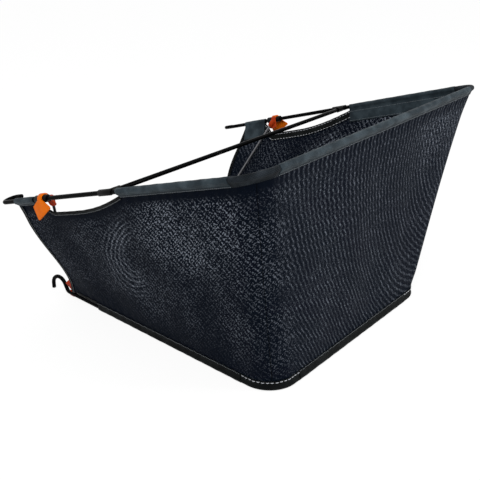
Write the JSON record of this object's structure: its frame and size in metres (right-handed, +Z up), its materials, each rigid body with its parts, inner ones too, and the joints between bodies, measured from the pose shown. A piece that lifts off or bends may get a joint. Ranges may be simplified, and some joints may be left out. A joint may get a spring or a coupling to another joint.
{
  "type": "reel mower grass box",
  "caption": "Mesh bag on two bent steel rods with hooks, open at the front, that catches a hand reel mower's grass.",
  "frame": {"origin": "midway between the lower rod's two front ends, on the level of that rod's axis", "axes": "+Z up, +Y from the mower to the rear of the bag, +X to the left of the person who pushes the mower"},
  "size_m": [0.6792, 0.6122, 0.3987],
  "materials": {
    "rod": "black powder coat, satin",
    "collar": "black moulded plastic",
    "clip": "orange moulded plastic",
    "rivet": "bright",
    "mesh": "dark navy coated mesh",
    "nylon": "dark grey coated nylon",
    "tape": "black woven tape and cloth"
  },
  "bodies": {
    "root": {"top_frame": "rod", "bottom_frame": "rod", "cross_bar": "rod", "strut_left": "rod", "strut_right": "rod", "cross_bar_saddle_left": "collar", "cross_bar_saddle_right": "collar", "clip_saddle_left": "collar", "clip_saddle_right": "collar", "clip_left": "clip", "clip_right": "clip", "lower_clip_left": "clip", "lower_clip_right": "clip", "lower_rivet_left": "rivet", "lower_rivet_right": "rivet", "side_panel_left": "mesh", "side_panel_right": "mesh", "rear_panel": "mesh", "top_sleeve_left": "nylon", "top_sleeve_right": "nylon", "tab_left": "nylon", "tab_right": "nylon", "top_sleeve_rear": "nylon", "bottom_sleeve_left": "tape", "bottom_sleeve_right": "tape", "front_binding_left": "tape", "front_binding_right": "tape", "edge_binding_left": "tape", "edge_binding_right": "tape", "top_hem_left": "tape", "top_hem_right": "tape", "bottom_hem_left": "tape", "bottom_hem_right": "tape", "front_hem_left": "tape", "front_hem_right": "tape", "corner_tape_left": "tape", "corner_tape_right": "tape", "bottom_sleeve_rear": "tape", "floor_panel": "tape", "floor_hem": "tape"}
  },
  "joints": []
}
